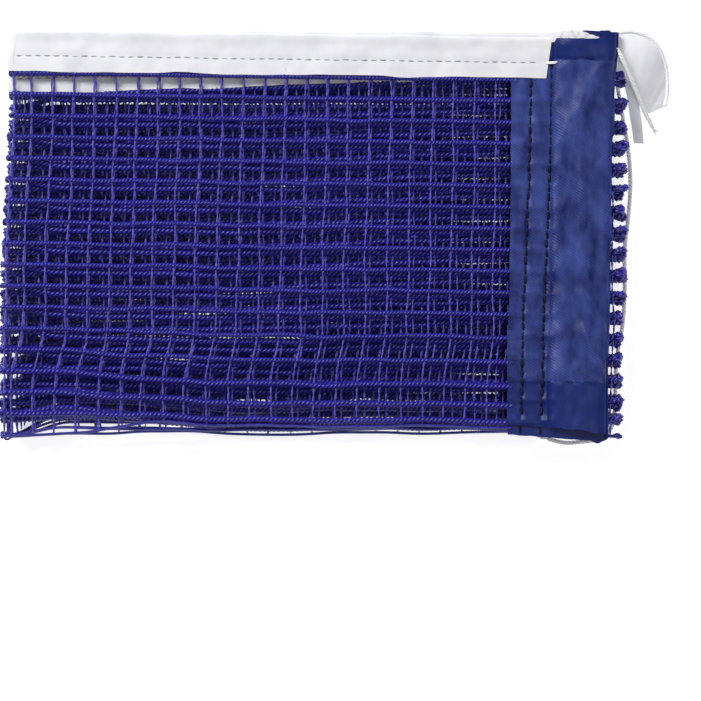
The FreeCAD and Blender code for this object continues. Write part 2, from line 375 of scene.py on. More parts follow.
class Nodes:
    """A material's node tree, with the Principled shader ready."""

    def __init__(self, name, roughness, **values):
        self.material = bpy.data.materials.new(name)
        self.material.use_nodes = True
        self.tree = self.material.node_tree
        self.shader = self.tree.nodes["Principled BSDF"]
        self.shader.inputs["Roughness"].default_value = roughness
        for key, value in values.items():
            self.shader.inputs[key.replace("_", " ")].default_value = value
        self.place = self.add("ShaderNodeTexCoord").outputs["Object"]

    def add(self, kind, settings=None, **values):
        node = self.tree.nodes.new(kind)
        for key, value in (settings or {}).items():
            setattr(node, key, value)
        for key, value in values.items():
            node.inputs[key.replace("_", " ")].default_value = value
        return node

    def link(self, output, socket):
        self.tree.links.new(output, socket)

    def noise(self, scale, detail=3.0, stretch=(1, 1, 1)):
        mapping = self.add("ShaderNodeMapping", Scale=stretch)
        self.link(self.place, mapping.inputs["Vector"])
        texture = self.add("ShaderNodeTexNoise", Scale=scale, Detail=detail)
        self.link(mapping.outputs["Vector"], texture.inputs["Vector"])
        return texture.outputs["Fac"]

    def lines(self, period, slope, distortion=0.0):
        """Fine parallel lines on the XY plane, this far apart. Slope is across, along."""
        mapping = self.add("ShaderNodeMapping", Scale=(*slope, 0))
        self.link(self.place, mapping.inputs["Vector"])
        scale = 0.628 / period / math.hypot(*slope)
        texture = self.add("ShaderNodeTexWave", {"bands_direction": "DIAGONAL"},
                           Scale=scale, Distortion=distortion, Detail_Scale=2.0)
        self.link(mapping.outputs["Vector"], texture.inputs["Vector"])
        return texture.outputs["Fac"]

    def mixed(self, share, low, high):
        """A colour between two, or a number between two."""
        ramp = self.add("ShaderNodeValToRGB")
        ramp.color_ramp.elements[0].position = 0.3
        ramp.color_ramp.elements[1].position = 0.7
        ramp.color_ramp.elements[0].color = (*low, 1)
        ramp.color_ramp.elements[1].color = (*high, 1)
        self.link(share, ramp.inputs["Fac"])
        return ramp.outputs["Color"]

    def math(self, operation, first, second):
        node = self.add("ShaderNodeMath", {"operation": operation})
        for socket, value in zip(node.inputs, (first, second)):
            if isinstance(value, (int, float)):
                socket.default_value = value
            else:
                self.link(value, socket)
        return node.outputs["Value"]

    def tinted(self, colour, other, share):
        node = self.add("ShaderNodeMix", {"data_type": "RGBA", "blend_type": "MULTIPLY"})
        self.link(colour, node.inputs["A"])
        self.link(other, node.inputs["B"])
        node.inputs["Factor"].default_value = share
        return node.outputs["Result"]

    def colour(self, output):
        self.link(output, self.shader.inputs["Base Color"])

    def bump(self, height, distance, strength=1.0):
        node = self.add("ShaderNodeBump", Distance=distance, Strength=strength)
        self.link(height, node.inputs["Height"])
        previous = self.shader.inputs["Normal"].links
        if previous:
            self.link(previous[0].from_socket, node.inputs["Normal"])
        self.link(node.outputs["Normal"], self.shader.inputs["Normal"])


def floor_material():
    nodes = Nodes("floor", 0.9, Emission_Strength=0.6)
    nodes.shader.inputs["Emission Color"].default_value = (1, 1, 1, 1)
    nodes.colour(nodes.mixed(nodes.noise(3.0), (0.93, 0.93, 0.93), (0.95, 0.95, 0.95)))
    return nodes.material


def twine_material(name, low, high):
    """Smooth synthetic twine with fine fibres: its colour changes at random from ply to ply, and
    the small lighter spots are also painted sparkle that stands in for highlights.
    """
    nodes = Nodes(name, 0.38, Specular_IOR_Level=0.7)
    # Random tone from ply to ply, with painted sparkle: the small lighter spots stand in for
    # highlights on the plies.
    shade = nodes.mixed(nodes.noise(1100.0, 4.0), low, high)
    nodes.colour(shade)
    nodes.bump(nodes.noise(5200.0, 2.0), 0.06 * mm, 0.6)
    return nodes.material


def canvas_material(name, low, high):
    """White cotton canvas: a plain weave, slightly uneven in shade."""
    nodes = Nodes(name, 0.85, Sheen_Weight=0.15)
    threads = nodes.math("ADD", nodes.lines(0.42 * mm, (1, 0)), nodes.lines(0.42 * mm, (0, 1)))
    soft = nodes.mixed(nodes.noise(90.0, 5.0), low, high)
    weave = nodes.mixed(nodes.math("MULTIPLY", threads, 0.5), (0.93, 0.93, 0.94), (1, 1, 1))
    nodes.colour(nodes.tinted(soft, weave, 1.0))
    nodes.bump(threads, 0.03 * mm, 0.7)
    nodes.bump(nodes.noise(260.0, 4.0), 0.2 * mm, 0.5)
    return nodes.material


def cord_material():
    nodes = Nodes("cord_fibre", 0.8, Sheen_Weight=0.2)
    nodes.colour(nodes.mixed(nodes.noise(600.0, 4.0), (0.86, 0.86, 0.88), (0.97, 0.97, 0.97)))
    nodes.bump(nodes.noise(4500.0, 2.0), 0.08 * mm, 0.8)
    return nodes.material


def nylon_material(name, low, high, ridge):
    """Coated blue nylon twill: slanting ridges and soft gloss, with long lighter streaks painted
    into its colour as highlights.
    """
    nodes = Nodes(name, 0.40, Specular_IOR_Level=0.22)
    broad = nodes.lines(0.92 * mm, (0.66, 1.0), 1.0)
    fine = nodes.lines(0.42 * mm, (0.66, 1.0), 0.4)
    # Painted highlight: long streaks of the lighter colour stand in for glossy highlights on the
    # cloth.
    painted_highlight_streaks = nodes.mixed(nodes.noise(75.0, 6.0, (2.2, 0.9, 1)), low, high)
    tint = nodes.mixed(nodes.math("MULTIPLY", nodes.math("ADD", broad, fine), 0.5),
                       (0.58, 0.63, 0.73), (1, 1, 1))
    nodes.colour(nodes.tinted(painted_highlight_streaks, tint, ridge))
    nodes.bump(fine, 0.03 * mm, ridge)
    nodes.bump(broad, 0.05 * mm, ridge)
    nodes.bump(nodes.noise(160.0, 5.0), 0.35 * mm, 0.35)
    return nodes.material


def thread_material(name, low, high):
    nodes = Nodes(name, 0.6, Specular_IOR_Level=0.2)
    nodes.colour(nodes.mixed(nodes.noise(900.0), low, high))
    nodes.bump(nodes.lines(0.3 * mm, (1.0, 0.8)), 0.04 * mm, 0.8)
    return nodes.material


make_camera()
make_light()
make_floor()
twine = twine_material("net_twine", (0.004, 0.003, 0.130), (0.034, 0.026, 0.400))
fine_thread = twine_material("net_thread", (0.030, 0.027, 0.270), (0.110, 0.100, 0.560))
white_canvas = canvas_material("tape_canvas", (0.62, 0.62, 0.655), (0.72, 0.72, 0.75))
# The loop is folded tape of the same cloth: its lighter copy of the canvas colour is painted light
# on the loop.
painted_lit_canvas = canvas_material("loop_canvas", (0.80, 0.80, 0.85), (0.90, 0.90, 0.94))
white_cord = cord_material()
# The lighter colour of each nylon is the painted highlight in its streaks.
blue_nylon = nylon_material("sleeve_nylon", (0.001, 0.006, 0.085), (0.048, 0.074, 0.290), 1.0)
# The hem's nylon is the same cloth as the sleeve's, painted darker as shade where the folded hem
# shows less sheen.
shaded_hem_nylon = nylon_material("sleeve_hem", (0.002, 0.009, 0.095), (0.008, 0.022, 0.155), 0.35)
# The tape's seam thread is painted darker than its own grey, as the shade in the seam's groove.
seam_thread_with_painted_shade = thread_material("tape_stitches", (0.24, 0.24, 0.26), (0.36, 0.36, 0.39))
white_thread = thread_material("tack_thread", (0.78, 0.78, 0.80), (0.88, 0.88, 0.90))
navy_thread = thread_material("sleeve_stitches", (0.003, 0.003, 0.012), (0.008, 0.008, 0.030))


# ---------------------------------------------------------------- where the layers lie

def fold_line(joint):
    """A fold's place and its lean from the Y axis, from its hinge."""
    turn = 1 if joint["axis"][1] > 0 else -1
    lean = math.atan2(-joint["axis"][0] * turn, joint["axis"][1] * turn)
    return np.array(joint["pos_m"]), lean


hinges = {int(joint["name"].split("_")[1]): fold_line(joint) for joint in frame["joints"]}
last = len(hinges) + 1


def left_fold(number):
    return number if number % 2 else number - 1


def right_fold(number):
    return number - 1 if number % 2 else number


def layer_lean(number):
    """A middle layer runs from hinge to hinge. A fold line halves the angle of its two layers."""
    if number == 1:
        return 2 * hinges[1][1] - layer_lean(2)
    if number == last:
        return 2 * hinges[last - 1][1] - layer_lean(last - 1)
    along = hinges[right_fold(number)][0] - hinges[left_fold(number)][0]
    return math.atan2(along[1], along[0])


def turn(fold, v):
    """How far inside a fold line the netting starts to turn, and how far out it reaches."""
    place, lean = hinges[fold]
    is_left = left_fold(fold) == fold
    start, change, shoulder, fall = left_outline if is_left else right_outline
    outline = start + change * smooth((shoulder - place[1] - v) / fall)
    beyond = (outline - place[0] + v * math.sin(lean)) * (-1 if is_left else 1)
    inset = np.maximum(least_inset, least_reach - beyond)
    return inset, beyond + inset


class Layer:
    """One layer. In its own frame x runs along it, 0 at its right-hand end and negative to the
    left, v is the height on the net and z the height over its underside."""

    def __init__(self, number):
        self.number = number
        self.body = f"layer_{number}"
        self.lean = layer_lean(number)
        self.along = heading(self.lean)
        self.up = heading(self.lean + math.pi / 2)
        low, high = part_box(f"netting_{number}")
        self.base = low.z
        self.mid = (high.z - low.z) / 2
        self.sleeved = number in (1, last)
        if self.sleeved:
            end = "a" if number == 1 else "b"
            low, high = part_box(f"end_sleeve_{end}")
            centre = np.array((low + high) / 2)
            self.right = centre + self.along * sleeve_width / 2
        else:
            self.right = hinges[right_fold(number)][0]
        self.chance = np.random.default_rng(number)
        self.slack = 5.0 * mm + self.chance.uniform(0, 2.0) * mm

    def place(self, x, v, z):
        x, v, z = (np.asarray(value, float)[..., None] for value in (x, v, z))
        level = self.right * (1, 1, 0) + x * self.along + v * self.up
        return level + (self.base + z) * np.array([0, 0, 1.0])

    def fold_at(self, fold, v):
        """Where a fold line crosses the layer at height v."""
        place, lean = hinges[fold]
        along = (place - self.right) @ self.along
        return along + v * math.tan(self.lean - lean)

    def left(self, v, extra=0.0):
        fold = left_fold(self.number)
        return self.fold_at(fold, v) + turn(fold, v)[0] + extra

    def right_end(self, v):
        if self.sleeved:
            return -sleeve_width + 1.6 * mm + 0 * v
        fold = right_fold(self.number)
        return self.fold_at(fold, v) - turn(fold, v)[0]

    def at(self, share, v):
        """x at this share of the way from the left end to the right end."""
        return (1 - share) * self.left(v) + share * self.right_end(v)


layers = {number: Layer(number) for number in range(1, last + 1)}


def fasten(piece, body, stands_for):
    """The piece moves with a body and stands for one of the CAD nodes."""
    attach(piece, body)
    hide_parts(stands_for)
    return piece


# ---------------------------------------------------------------- netting

def lowest(fold):
    """The netting's lower edge at a fold. Where the net lies low it is pushed up."""
    if fold in hinges:
        return max(-half_height, cad_box[0].y + 3.2 * mm - hinges[fold][0][1])
    return -half_height


def fold_heights(fold, shifted=True):
    """The rows' heights at a fold, squeezed towards the lower edge where that is pushed up."""
    nominal = tape_edge - 0.6 * mm - cell * np.arange(rows)
    depth = (tape_edge - nominal) / (tape_edge + half_height)
    heights = nominal + (lowest(fold) + half_height) * smooth((depth - 0.45) / 0.55)
    if shifted:
        free = smooth(depth * 14) * smooth((1 - depth) * 8)
        heights += shift_at_fold.get(fold, 0.0) * free
    return heights


def layer_shift(number):
    """The rows of each deep layer lie the same share of a cell further on than the last one's."""
    if number == 1:
        return 0.0
    if number == 2:
        return second_layer_shift
    return cell * ((number * deep_step) % 1 - 0.5)


def row_heights(layer, share):
    """Every row's height along a layer, with the cloth's own unevenness between the folds."""
    left, right = left_fold(layer.number), right_fold(layer.number)
    heights = 0
    distance = share * net_length_of_layer
    from_left = smooth(distance / fold_zone)
    from_right = smooth((net_length_of_layer - distance) / fold_zone)
    for fold, part, free in ((left, 1 - share, from_left), (right, share, from_right)):
        even = fold_heights(fold, shifted=False)[:, None]
        shift = fold_heights(fold)[:, None] - even
        heights = heights + even * part + shift * (1 - free)
    depth = (tape_edge - heights) / (tape_edge + half_height)
    free = from_left if layer.sleeved else from_left * from_right
    loose = np.sin(math.pi * share) ** 0.6
    common = Wave(10 + layer.number, 150 * mm)(distance) * 0.9 * mm
    top_rows = smooth(depth * (9 if layer.number == 2 else 14))
    shift = layer_shift(layer.number) * top_rows
    heights = heights + loose * common * depth + free * shift
    for row in range(rows):
        own = Wave(100 * layer.number + row, 70 * mm)
        heights[row] += loose * own(distance) * 0.45 * mm * smooth(depth[row] * 8)
    if layer.number > 1:
        heights = heights + smooth((depth - 0.70) / 0.30) * layer.slack * free
    else:
        slack = 5.2 * mm * smooth((distance - 15 * mm) / (60 * mm))
        heights = heights + smooth((depth - 0.80) / 0.20) * slack
    gap = heights[-2] - heights[-1] - lowest_gap
    tuck = free * smooth((distance - tuck_start) / tuck_length)
    heights[:-1] -= gap * tuck * smooth((depth[:-1] - 0.6) / 0.34)
    return np.maximum(heights, lowest(left) * (1 - share) + lowest(right) * share)


def sag(layer, share, v):
    """Layers above the thick lower sleeve sink a little where it doesn't hold them up."""
    if layer.number == last:
        return 0 * share
    free = smooth((tape_edge - v) / (25 * mm))
    return -net_sag * np.sin(math.pi * np.clip(share / 0.8, 0, 1)) ** 2 * free


def row_scale(number, row):
    """The lowest row is thin, and those just over it and in the deep layers are fluffier."""
    if row == rows - 1:
        return selvage_scale
    scale = 1 + rope_growth * smooth((row - rope_row) / 3)
    return max(scale, deep_growth) if number >= deep_layer else scale


def net_rows(layer):
    """The thick twisted strands that run along the net."""
    shape = Shape()
    count = int(net_length_of_layer / row_pitch * turn_steps)
    share = np.linspace(0, 1, count)
    distance = share * net_length_of_layer
    heights = row_heights(layer, share)
    for row, v in enumerate(heights):
        scale = row_scale(layer.number, row)
        lift = Wave(1000 * layer.number + row, 60 * mm)(distance) * 0.15 * mm
        z = layer.mid + sag(layer, share, v) + lift * np.sin(math.pi * share)
        z = np.maximum(z, (row_radius + row_twist_radius) * scale + floor_gap - layer.base)
        line = layer.place(layer.at(share, v), v, z)
        twist(shape, line, layer.up, 2, row_radius * scale, row_twist_radius * scale,
              row_pitch * scale, row_sides, layer.chance.uniform(0, 1))
    return shape.build(f"netting_{layer.number}_rows", twine)


def net_threads(layer):
    """The thin upright threads, one to each cell, from under the tape to the lower edge."""
    shape = Shape()
    width = layer.right_end(0.0) - layer.left(0.0)
    stretch = 1.0 + 0.012 * (layer.number == 2)
    first = -1.2 * mm if layer.number < 3 else layer.chance.uniform(-6.0, 1.0) * mm
    top = tape_edge + 2.5 * mm
    for start in np.arange(first, width, cell * stretch):
        start = max(start, 0.2 * mm)
        share = np.array([start / width])
        heights = row_heights(layer, share)[:, 0]
        v = np.linspace(top, heights[-1], 78)
        wander = Wave(layer.number * 977 + int(start / cell), 60 * mm)
        x = layer.at(share, v) + wander(v) * 0.5 * mm
        x -= thread_lean * smooth((-v - 35 * mm) / (20 * mm)) * (1 - 0.6 * share)
        x = np.maximum(x, layer.left(v))
        over = np.sin((v - heights[0]) / cell * math.pi) * 0.35 * mm
        z = layer.mid + sag(layer, share, v) + over
        line = layer.place(x, v, z)
        twist(shape, line, layer.along, 2, thread_radius, thread_twist_radius, thread_pitch,
              row_sides, layer.chance.uniform(0, 1))
    return shape.build(f"netting_{layer.number}_threads", fine_thread)


def make_netting(layer):
    strands, threads = net_rows(layer), net_threads(layer)
    for piece in (strands, threads):
        fasten(piece, layer.body, f"netting_{layer.number}")


class Fold:
    """The turn between two layers: outwards is level and square to the fold line."""

    def __init__(self, number):
        self.number = number
        self.place, self.lean = hinges[number]
        self.up = heading(self.lean + math.pi / 2)
        self.lower = layers[number + 1]
        self.upper = layers[number]
        outwards = -1 if left_fold(number) == number else 1
        self.out = heading(self.lean) * outwards
        self.low = self.lower.base + self.lower.mid
        self.high = self.upper.base + self.upper.mid
        self.is_left = left_fold(number) == number

    def path(self, v, steps, bend, share=1.0, skew=0.0):
        """Round the turn from the lower layer to the upper one at height v on the net."""
        inset, reach = bend
        angle = np.linspace(0, math.pi, steps)
        height = self.low + (self.high - self.low) * (1 - np.cos(angle)) / 2
        v = v / math.cos(self.upper.lean - self.lean) + skew * np.sin(2 * angle)
        level = self.place * (1, 1, 0) + self.up * np.asarray(v)[..., None]
        out = self.out * (np.sin(angle) * reach * share - inset)[:, None]
        return level + out + height[:, None] * np.array([0, 0, 1.0])

    def bend(self, piece):
        """Applies the piece's placement to its own mesh."""
        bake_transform(piece)
        return piece


def make_net_fold(fold):
    """The rows' own turns round a fold."""
    shape = Shape()
    chance = np.random.default_rng(70 + fold.number)
    for row, v in enumerate(fold_heights(fold.number)):
        scale = row_scale(fold.number, row)
        skew = chance.uniform(-1.2, 1.2) * mm
        line = fold.path(v, fold_steps, turn(fold.number, v), chance.uniform(0.7, 1.1), skew)
        twist(shape, line, fold.up, 2, row_radius * scale, row_twist_radius * scale,
              row_pitch * scale, row_sides, chance.uniform(0, 1))
    piece = shape.build(f"netting_fold_{fold.number}", twine)
    fold.bend(piece)
    return piece


# ---------------------------------------------------------------- head tape

def tape_profile():
    """The folded tape's section, from its front lower edge over the cord to its back one."""
    flat = np.linspace(tape_edge, cord_line, 15)
    half = tape_leaf + (tape_bulge - tape_leaf) * smooth((flat - cord_line + 2 * mm) / (1.4 * mm))
    angle = np.linspace(0, math.pi, 9)[1:-1]
    top_v = cord_line + tape_bulge * np.sin(angle)
    top_z = tape_bulge * np.cos(angle)
    v = np.concatenate([flat, top_v, flat[::-1]])
    z = np.concatenate([half, top_z, -half[::-1]])
    return v, z


def tape_wrinkle(layer, x, v):
    """How far the tape's face stands out or in. Nothing at its ends, little round the cord."""
    width = layer.right_end(0.0) - layer.left(0.0)
    share = np.clip((x - layer.left(0.0)) / width, 0, 1)
    loose = np.minimum(1, np.sin(math.pi * share) * 5)
    folds = Wave(300 + layer.number, 90 * mm)(x + 0.8 * v)
    ripples = Wave(400 + layer.number, 26 * mm)(x - 0.5 * v)
    channel = bell(v - cord_line + 3.6 * mm, 1.5 * mm) * 0.12 * mm
    lower = smooth((cord_line - 1.5 * mm - v) / (4 * mm))
    beat = np.abs(np.sin(math.pi * (x - layer.left(0.0)) / cell))
    pressed = bell(beat, 0.35) * smooth((tape_edge + 5 * mm - v) / (2 * mm)) * 0.12 * mm
    return loose * (lower * (folds * 0.42 + ripples * 0.32) * mm - channel - pressed)


def tape_face(layer, x, v):
    """Height of the tape's upper face over the layer's middle, for what is sewn on it."""
    groove = seam_groove * bell(v - seam_line, 0.6 * mm)
    return tape_leaf + tape_wrinkle(layer, x, v) - groove


def corner_inset(v):
    """How far the tape's left end rounds off towards its top."""
    return tape_corner * smooth((v - tape_edge - 4 * mm) / (11 * mm))


def tape_left(layer, v):
    return layer.left(v, corner_inset(v))


def tape_right(layer, v):
    return layer.fold_at(right_fold(layer.number), v) - tape_bend[0]


def make_tape(layer):
    v, z = tape_profile()
    left = tape_left(layer, v)
    shape = Shape()
    share = np.linspace(0, 1, 150)[:, None]
    if layer.sleeved:
        right = -tape_end - tape_cut * (half_height - v) / (half_height - tape_edge)
    else:
        right = tape_right(layer, v)
    x = left + (right - left) * share
    face = np.sign(z) * (np.abs(z) > 0.3 * mm)
    front = tape_wrinkle(layer, x, v + 0 * x)
    back = tape_wrinkle(layer, x + 37 * mm, v + 0 * x) * np.sin(math.pi * share) ** 0.3
    groove = seam_groove * bell(v - seam_line, 0.6 * mm)
    height = z + np.where(face > 0, front - groove, np.where(face < 0, back + groove, 0))
    height = np.maximum(height, floor_gap - layer.base - layer.mid)
    edge = Wave(500 + layer.number, 60 * mm)(x) * np.minimum(1, np.sin(math.pi * share) * 4)
    low_part = smooth((seam_line - v) / (seam_line - tape_edge))
    high_part = smooth((v - seam_line) / (half_height - seam_line))
    sway = edge * (low_part * 0.45 - high_part * 0.25) * mm
    shape.grid(layer.place(x, v + sway, layer.mid + height))
    piece = thicken(shape.build(f"head_tape_{layer.number}_canvas", white_canvas), canvas)
    fasten(piece, layer.body, f"head_tape_{layer.number}")
    return piece


def make_tape_fold(fold):
    """The tape's turn round a fold."""
    v, z = tape_profile()
    steps = 13
    columns = []
    face = np.sign(fold.out @ np.cross(fold.up, [0, 0, 1.0]))
    for height, offset in zip(v, z):
        bend = tape_bend
        if fold.is_left:
            inset, reach = turn(fold.number, height)
            bend = (inset + corner_inset(height), reach)
        level = fold.path(height, steps, bend)
        ahead = unit(np.gradient(level, axis=0))
        ahead[0], ahead[-1] = fold.out, -fold.out
        columns.append(level + np.cross(fold.up, ahead) * face * offset)
    points = np.stack(columns, axis=1)
    shape = Shape()
    shape.grid(points[::-1] if fold.out[0] > 0 else points)
    piece = thicken(shape.build(f"head_tape_fold_{fold.number}", white_canvas), canvas)
    fold.bend(piece)
    return piece


def stitch(shape, start, end, lift, radius, sideways):
    """One stitch: a short thread that rises out of the cloth and goes back into it."""
    share = np.array([0, 0.12, 0.35, 0.65, 0.88, 1.0])
    arch = np.array([-0.6, 0.3, 0.9, 0.9, 0.3, -0.6])
    line = start + (end - start) * share[:, None] + lift * (arch * radius)[:, None]
    tube(shape, line, radius * np.array([0.3, 0.9, 1, 1, 0.9, 0.3]), sideways, 5)


def tape_stitches(layer):
    shape = Shape()
    left = tape_left(layer, seam_line) + 0.4 * mm
    if layer.sleeved:
        right = -tape_end - 2.5 * mm
    else:
        right = tape_right(layer, seam_line) - 0.4 * mm
    for x in np.arange(left, right - stitch_length, stitch_period):
        for face in (1, -1):
            ends = np.array([x, x + stitch_length])
            sway = layer.chance.uniform(-0.15, 0.15) * mm
            if face > 0:
                height = tape_face(layer, ends, seam_line + 0 * ends)
            else:
                height = tape_leaf + 0 * ends
            points = layer.place(ends, seam_line + sway, layer.mid + face * height)
            stitch(shape, *points, np.array([0, 0, face]), stitch_radius * 1.35, layer.up)
    piece = shape.build(f"tape_seam_{layer.number}_stitches", seam_thread_with_painted_shade)
    return fasten(piece, layer.body, f"tape_seam_{layer.number}")


# ---------------------------------------------------------------- sleeves

def strand_bumps(v):
    """The netting's rows show through the cloths that hold them, below the tape."""
    nearest = (v - tape_edge + 0.6 * mm) / cell
    bumps = bell((nearest - np.round(nearest)) * cell, 1.6 * mm)
    return bumps * smooth((tape_edge - 3 * mm - v) / (2 * mm))


def row_place(distance, v):
    """Where a row of stitches lies: a little slanted and not quite straight."""
    return -distance - 0.6 * mm + 1.4 * mm * v / (70 * mm) + Wave(690, 90 * mm)(v) * 0.3 * mm


crease_growth = 1.5

# Creases and swells in a sleeve's upper cloth: both ends, half the width, and the height
sleeve_creases = [
    ((-0.0039, 0.0674), (-0.0176, 0.0401), 0.0032, 0.0008),
    ((-0.0237, 0.0307), (-0.0046, 0.0157), 0.0036, 0.0005),
    ((-0.0195, 0.0195), (-0.0043, -0.0105), 0.0045, -0.0006),
    ((-0.0240, -0.0160), (-0.0020, -0.0160), 0.0032, -0.0005),
    ((-0.0074, -0.0218), (-0.0019, -0.0330), 0.0010, 0.0006),
    ((-0.0094, -0.0330), (-0.0019, -0.0510), 0.0012, 0.0006),
    ((-0.0240, -0.0330), (-0.0070, -0.0350), 0.0026, 0.0004),
    ((-0.0230, -0.0488), (-0.0035, -0.0470), 0.0028, 0.0006),
]


def crease(x, v, start, end, width):
    """A soft ridge from one place on a sleeve to another."""
    (x0, v0), (x1, v1) = start, end
    long = math.hypot(x1 - x0, v1 - v0)
    along = ((x - x0) * (x1 - x0) + (v - v0) * (v1 - v0)) / long
    off = ((x - x0) * (v1 - v0) - (v - v0) * (x1 - x0)) / long
    past = along - np.clip(along, 0, long)
    return bell(off, width) * bell(past, 2 * width)


def sleeve_front(layer, x, v):
    """Height of a sleeve's upper cloth. x runs from minus its width to 0 at the outer edge."""
    pocket = np.clip((x + pocket_width) / pocket_width, 0, 1)
    round_over = np.sin(math.pi * pocket ** 0.85) ** 0.55
    creases = Wave(600 + layer.number, 34 * mm)(x * 0.6 + 30 * mm)
    slack = Wave(610 + layer.number, 120 * mm)(v)
    full = pocket_height - 0.6 * mm + slack * 0.4 * mm
    ridge = bell(x + 9.6 * mm + 0.06 * v, 2.2 * mm) - bell(x + 14 * mm, 2.0 * mm)
    ridge += 0.8 * bell(x + 3.4 * mm, 1.3 * mm)
    puckers = Wave(620 + layer.number, 31 * mm)(v - 0.7 * x)
    dents = Wave(630 + layer.number, 17 * mm)(v + 1.6 * x) * Wave(631, 50 * mm)(v)
    base = flange_face + (full - flange_face) * round_over
    cloth = base + round_over * (ridge * 0.4 + creases * 0.2 + puckers * 0.32 + dents * 0.2) * mm
    flange = 1 - smooth((x + pocket_width + 1.0 * mm) / (5 * mm))
    cloth += flange * strand_bumps(v) * 0.8 * mm
    for row in (inner_row, outer_row):
        cloth -= 0.35 * mm * bell(x - row_place(row, v), 0.8 * mm)
    cloth += 0.6 * mm * bell(v - pocket_top + 2.5 * mm, 2.6 * mm) * round_over
    for start, end, width, height in sleeve_creases:
        cloth += crease(x, v, start, end, width) * height * crease_growth
    hem = smooth((v - top_hem_line) / (0.5 * mm)) + smooth((bottom_hem_line - v) / (0.5 * mm))
    groove = bell(v - top_hem_line, 0.8 * mm) + 0.3 * bell(v - bottom_hem_line, 0.7 * mm)
    at_crease = smooth((x + edge_round) / edge_round)
    cloth += (0.28 * hem - 0.5 * groove) * mm * (1 - at_crease) * smooth((x + 26 * mm) / (3 * mm))
    return cloth * (1 - at_crease) + at_crease * edge_height


def sleeve_back(layer, x, v):
    """Height of a sleeve's lower cloth."""
    pocket = smooth((x + pocket_width + 2 * mm) / (4 * mm))
    puckers = Wave(640 + layer.number, 40 * mm)(v + x) * 0.10 * mm
    outer = smooth((x + edge_round) / edge_round)
    low = (0.45 * (1 - pocket) + 0.32 * pocket) * mm
    return low + np.maximum(puckers, 0) + outer * (edge_height - low)


def sleeve_ends(layer, x):
    """Lower and upper ends of the front and of the back cloth at x, none of them quite straight."""
    across = (x + sleeve_width) / sleeve_width
    in_pocket = smooth((x + pocket_width) / (0.6 * mm))
    wavy = Wave(660 + layer.number, 30 * mm)(x) * mm
    fine = Wave(661 + layer.number, 9 * mm)(x) * mm
    front_low = front_bottom - front_slope * across + wavy * 0.4 + fine * 0.12
    back_low = back_bottom - 1.9 * mm * across - wavy * 0.3 + fine * 0.15
    back_low -= flap * bell(across - 0.89, 0.05)
    corner = smooth((x + corner_width) / (corner_width / 2))
    front_high = flange_top + in_pocket * (pocket_top - flange_top - wavy * 0.25 + fine * 0.1)
    front_high += corner * corner_top
    back_high = flange_top + in_pocket * (back_top - flange_top + wavy * 0.1)
    back_high -= back_drop * smooth((x + corner_width * 1.5) / (corner_width * 1.5))
    low_part = smooth((-x - back_step_place) / mm) if layer.number == 1 else 1
    back_high -= back_step * low_part
    return front_low, front_high, back_low, back_high


def make_sleeve(layer, end):
    """Two cloths from one piece folded at the outer edge, with open hemmed ends."""
    flat = np.linspace(-sleeve_width, -edge_round, 60)
    crease = -edge_round * (1 - np.sin(np.linspace(0, math.pi, 9)[1:-1]))
    x = np.concatenate([flat, crease, flat[::-1]])
    to_back = np.clip((np.arange(len(x)) - len(flat) + 1) / (len(crease) + 1), 0, 1)
    front_low, front_high, back_low, back_high = sleeve_ends(layer, x)
    bottom = front_low * (1 - to_back) + back_low * to_back
    top = front_high * (1 - to_back) + back_high * to_back
    v = bottom + (top - bottom) * np.linspace(0, 1, 190)[:, None]
    x = x + 0 * v
    mouth = np.maximum(bell(v - pocket_top, 5 * mm), bell(v - front_bottom + 2 * mm, 6 * mm))
    inside = smooth((x + pocket_width - 2 * mm) / (6 * mm)) * smooth(-x / (5 * mm))
    upper = sleeve_front(layer, x, v) + mouth * inside * 0.4 * mm
    height = upper * (1 - to_back) + sleeve_back(layer, x, v) * to_back
    sway = Wave(680 + layer.number, 90 * mm)(v) * 0.4 * mm
    sway += flare * smooth((v - 20 * mm) / (60 * mm)) * smooth((x + pocket_width) / pocket_width)
    if layer.number == last:
        sway -= spread * smooth(-v / half_height) * smooth(-x / sleeve_width)
    shape = Shape()
    shape.grid(layer.place(x + sway, v, height))
    middle = (v[:-1, :-1] + v[1:, 1:]) / 2
    # The hem faces get the darker nylon: painted shade on the folded hems.
    hem = (middle > top_hem_line) | (middle < bottom_hem_line)
    shape.marks = [hem.astype(np.int32).ravel()]
    piece = thicken(shape.build(f"end_sleeve_{end}_nylon", blue_nylon, shaded_hem_nylon), nylon)
    fasten(piece, layer.body, f"end_sleeve_{end}")
    return piece


def sleeve_stitches(layer, end, name, distance, high):
    """A row of stitches along a sleeve, on its upper cloth and on its lower one."""
    shape = Shape()
    ends = sleeve_ends(layer, np.array([-distance]))
    front_low, _, back_low, _ = (float(value[0]) for value in ends)
    for v in np.arange(back_low + 1.0 * mm, high - stitch_length, stitch_period):
        ends = np.array([v, v + stitch_length])
        x = row_place(distance, ends) + layer.chance.uniform(-0.25, 0.25, 2) * mm
        radius = stitch_radius * layer.chance.uniform(1.9, 2.4)
        if v > front_low + 1.0 * mm:
            upper = layer.place(x, ends, sleeve_front(layer, x, ends))
            stitch(shape, *upper, np.array([0, 0, 1.0]), radius, layer.along)
        back = sleeve_back(layer, x, ends)
        lower = layer.place(x, ends, back)
        stitch(shape, *lower, np.array([0, 0, -1.0]), stitch_radius, layer.along)
        if v < front_low:
            inner = layer.place(x, ends, back + nylon)
            stitch(shape, *inner, np.array([0, 0, 1.0]), radius, layer.along)
    piece = shape.build(f"sleeve_seam_{name}_{end}_stitches", navy_thread)
    return fasten(piece, layer.body, f"sleeve_seam_{name}_{end}")


